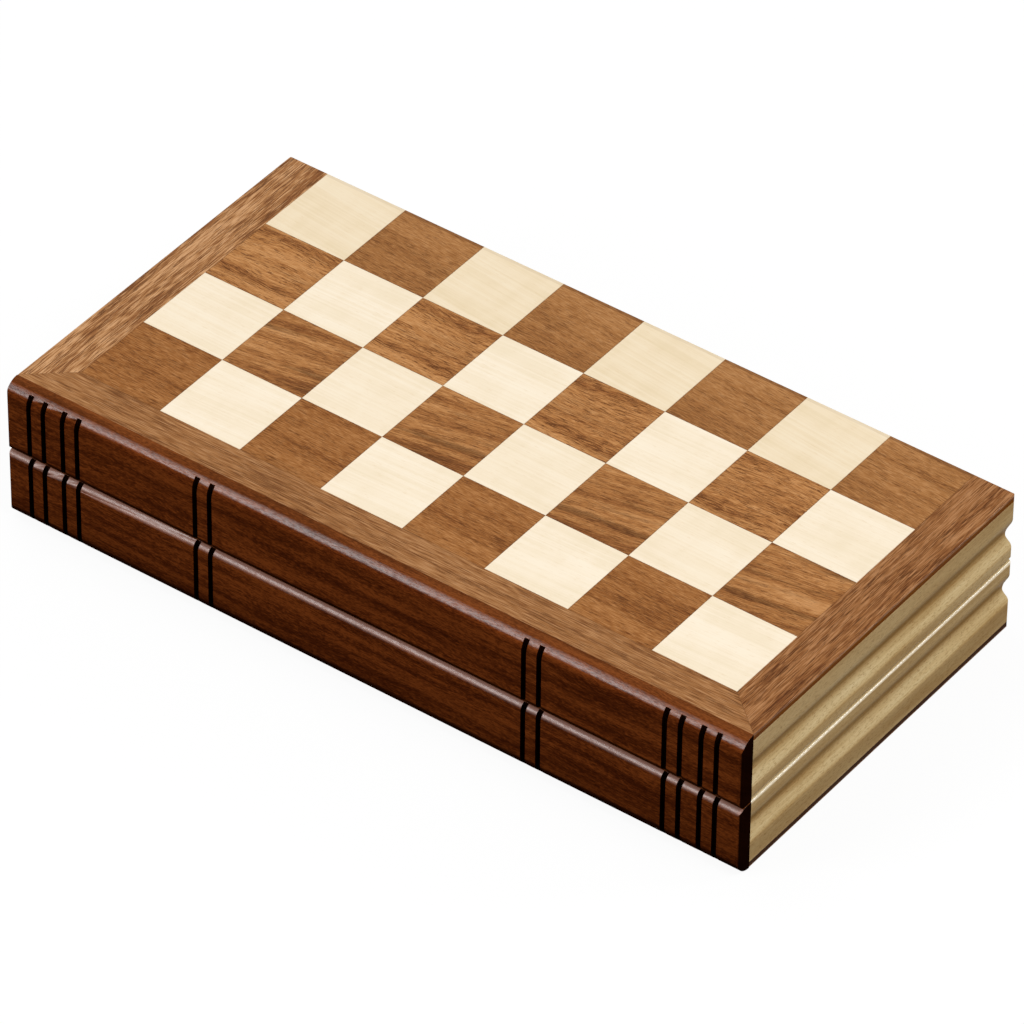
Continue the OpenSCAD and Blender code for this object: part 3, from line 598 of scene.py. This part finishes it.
def velvet_tray(node_name):
    """Replaces a tray with its velvet: every edge is rounded by the pile, and no face is quite flat."""
    piece = copied(node_name, node_name + "_velvet")
    remesh = piece.modifiers.new("even", "REMESH")
    remesh.mode = "VOXEL"
    remesh.voxel_size = VOXEL_MM * MM
    smooth = piece.modifiers.new("rounded", "SMOOTH")
    smooth.factor = 0.5
    smooth.iterations = 4
    applied(piece)
    normals = [vertex.normal.copy() for vertex in piece.data.vertices]
    for vertex, normal in zip(piece.data.vertices, normals):
        lie = noise.noise(vertex.co / (PILE_PATCH_MM * MM))
        vertex.co -= normal * (PILE_MM * MM * (0.5 + 0.5 * lie))
    piece.data.shade_smooth()
    stands_for(piece, node_name)


def felt_discs(node_name):
    """Replaces the men's flat pads with discs of felt, rounded at the rim."""
    piece = copied(node_name, node_name + "_baize")
    add_bevel(piece, FELT_RIM_MM, segments=3, sharpest=60)
    applied(piece)
    piece.data.shade_smooth()
    stands_for(piece, node_name)


for half in ("lower", "upper"):
    eased(half + "_spine", SPINE_EASE_MM)
    for rail in ("left_page_rail", "right_page_rail", "hinge_rail"):
        eased(f"{half}_{rail}", RAIL_EASE_MM)
    velvet_tray(half + "_tray")
for colour in ("light", "dark"):
    felt_discs(colour + "_felt_pads")


# Stage

scene.view_settings.view_transform = "Standard"

WHITE = (1.0, 1.0, 1.0, 1.0)
FLOOR_COLOUR = (0.08, 0.08, 0.08, 1.0)
FLOOR_SIZE = 30.0
FLOOR_BELOW = 0.0002
FLOOR_OWN_SHARE = 0.925
WORLD_LIGHT = 0.4
MIDDLE = (0.0, 0.0, 0.03)


def seen_directly(tree):
    """1 for what the camera sees, itself or in gloss and glass, and 0 for the light that falls on things."""
    path = tree.nodes.new("ShaderNodeLightPath")
    seen = path.outputs["Is Camera Ray"]
    for ray in ("Is Glossy Ray", "Is Transmission Ray"):
        either = tree.nodes.new("ShaderNodeMath")
        either.operation = "MAXIMUM"
        tree.links.new(seen, either.inputs[0])
        tree.links.new(path.outputs[ray], either.inputs[1])
        seen = either.outputs[0]
    return seen


def make_floor():
    """A white sheet that keeps the object's shadow. What it gives off itself is seen by the camera and by
    reflections alone, so it puts no light on the object."""
    mesh = bpy.data.meshes.new("floor")
    half = FLOOR_SIZE / 2
    corners = [(-half, -half), (half, -half), (half, half), (-half, half)]
    mesh.from_pydata([(x, y, -FLOOR_BELOW) for x, y in corners], [], [(0, 1, 2, 3)])
    floor = bpy.data.objects.new("floor", mesh)
    scene.collection.objects.link(floor)
    m = Material("floor_white")
    glow = m.times(seen_directly(m.tree), FLOOR_OWN_SHARE)
    m.finish(FLOOR_COLOUR, Roughness=1.0, Specular_IOR_Level=0.0, Emission_Color=WHITE,
             Emission_Strength=glow)
    mesh.materials.append(m.data)


def make_world():
    """White to the camera and in reflections, plain soft light to everything else."""
    world = bpy.data.worlds.new("studio")
    scene.world = world
    world.use_nodes = True
    tree = world.node_tree
    level = tree.nodes.new("ShaderNodeMapRange")
    level.inputs["To Min"].default_value = WORLD_LIGHT
    level.inputs["To Max"].default_value = 1.0
    tree.links.new(seen_directly(tree), level.inputs["Value"])
    background = tree.nodes["Background"]
    background.inputs["Color"].default_value = WHITE
    tree.links.new(level.outputs[0], background.inputs["Strength"])


def area_light(name, place, size, power):
    """A white rectangular lamp that faces the middle of the object."""
    data = bpy.data.lights.new(name, "AREA")
    data.shape = "RECTANGLE"
    data.size, data.size_y = size
    data.energy = power
    light = bpy.data.objects.new(name, data)
    scene.collection.objects.link(light)
    light.location = place
    light.rotation_mode = "QUATERNION"
    light.rotation_quaternion = (Vector(MIDDLE) - Vector(place)).to_track_quat("-Z", "Y")


make_floor()
make_world()
area_light("overhead", (-0.9, 0.25, 1.9), (1.0, 1.0), 6.5)
area_light("right", (1.18, -0.1, 1.88), (0.8, 0.8), 16.7)
area_light("front_left", (-0.92, -1.59, 1.22), (0.8, 0.9), 12.5)
area_light("upper_left", (-0.99, -1.06, 1.65), (0.4, 0.4), 2.5)
area_light("back_right", (1.41, 1.37, 1.02), (0.4, 0.4), 6.5)

# Camera, solved from the photograph: the corners of the chequer, the outline and the grooves

CAMERA_PLACE = Vector((1.29677, -1.77703, 1.87548))
CAMERA_AHEAD = Vector((-0.4506462, 0.61868015, -0.64354711))
CAMERA_UP = Vector((-0.38774632, 0.51368883, 0.76536042))
CAMERA_LENS = 299.11
CAMERA_SENSOR = 36.0

camera_data = bpy.data.cameras.new("camera")
camera_data.lens = CAMERA_LENS
camera_data.sensor_width = CAMERA_SENSOR
camera_data.clip_start, camera_data.clip_end = 0.1, 100.0
camera = bpy.data.objects.new("camera", camera_data)
scene.collection.objects.link(camera)
right = CAMERA_AHEAD.cross(CAMERA_UP).normalized()
up = right.cross(CAMERA_AHEAD).normalized()
turn = Matrix((right, up, -CAMERA_AHEAD.normalized())).transposed()
camera.matrix_world = Matrix.Translation(CAMERA_PLACE) @ turn.to_4x4()
scene.camera = camera

bpy.context.view_layer.update()
